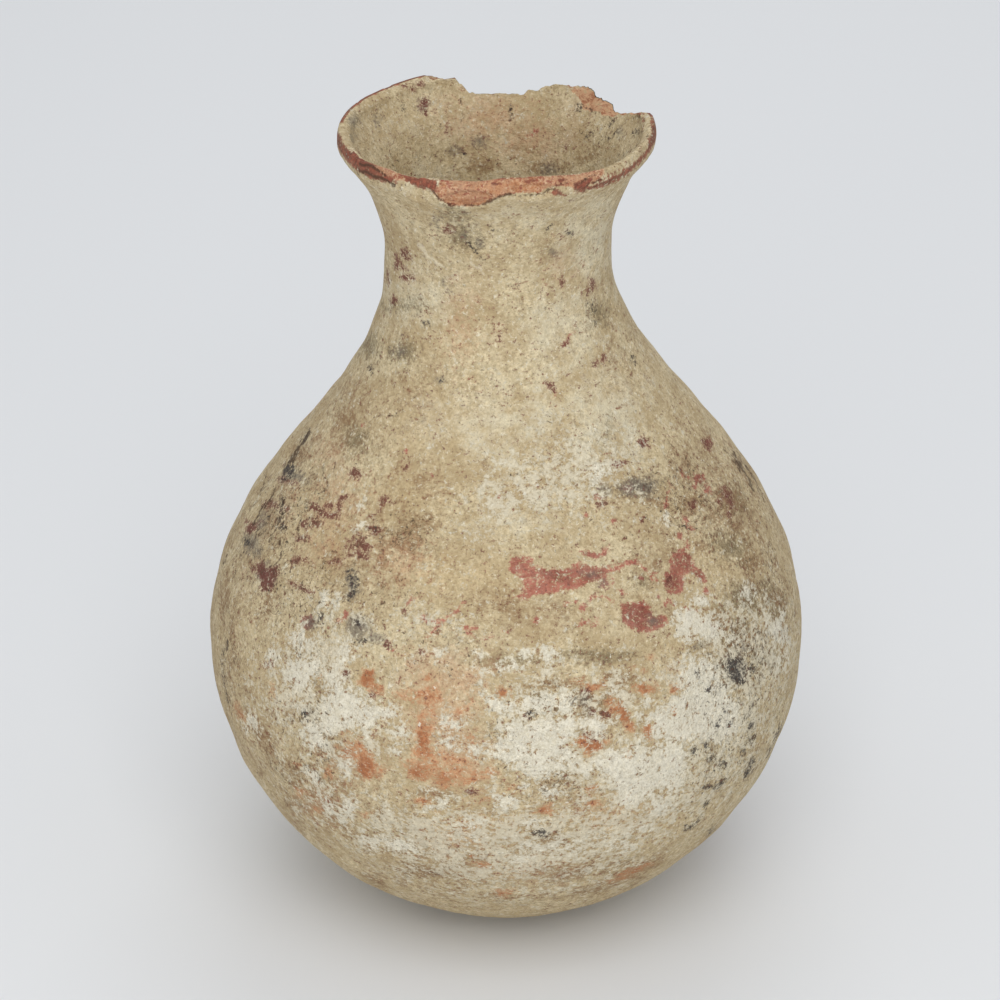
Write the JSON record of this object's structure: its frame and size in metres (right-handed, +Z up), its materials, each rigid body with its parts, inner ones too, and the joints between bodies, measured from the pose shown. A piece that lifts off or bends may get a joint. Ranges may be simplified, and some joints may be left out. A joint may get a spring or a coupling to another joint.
{
  "type": "terracotta jar",
  "caption": "Hand-built round-bellied clay jar with a small flat foot, narrow neck and flared, partly broken red lip, for holding and pouring.",
  "frame": {"origin": "centre of the bounding box on the ground, under the flat foot", "axes": "+Z up through the mouth, -Y towards the viewer of the picture, +X to that viewer's right"},
  "size_m": [0.2899, 0.29, 0.3989],
  "materials": {
    "slipped_clay": "matte cream slip over low-fired clay, worn and pitted",
    "red_lip": "matte red paint over orange clay"
  },
  "bodies": {
    "root": {"base_dish": "slipped_clay", "lower_wall_course": "slipped_clay", "low_belly_course": "slipped_clay", "high_belly_course": "slipped_clay", "low_shoulder_course": "slipped_clay", "high_shoulder_course": "slipped_clay", "neck_root_course": "slipped_clay", "neck_course": "slipped_clay", "mouth_flare": "slipped_clay", "lip_coil": "red_lip"}
  },
  "joints": []
}
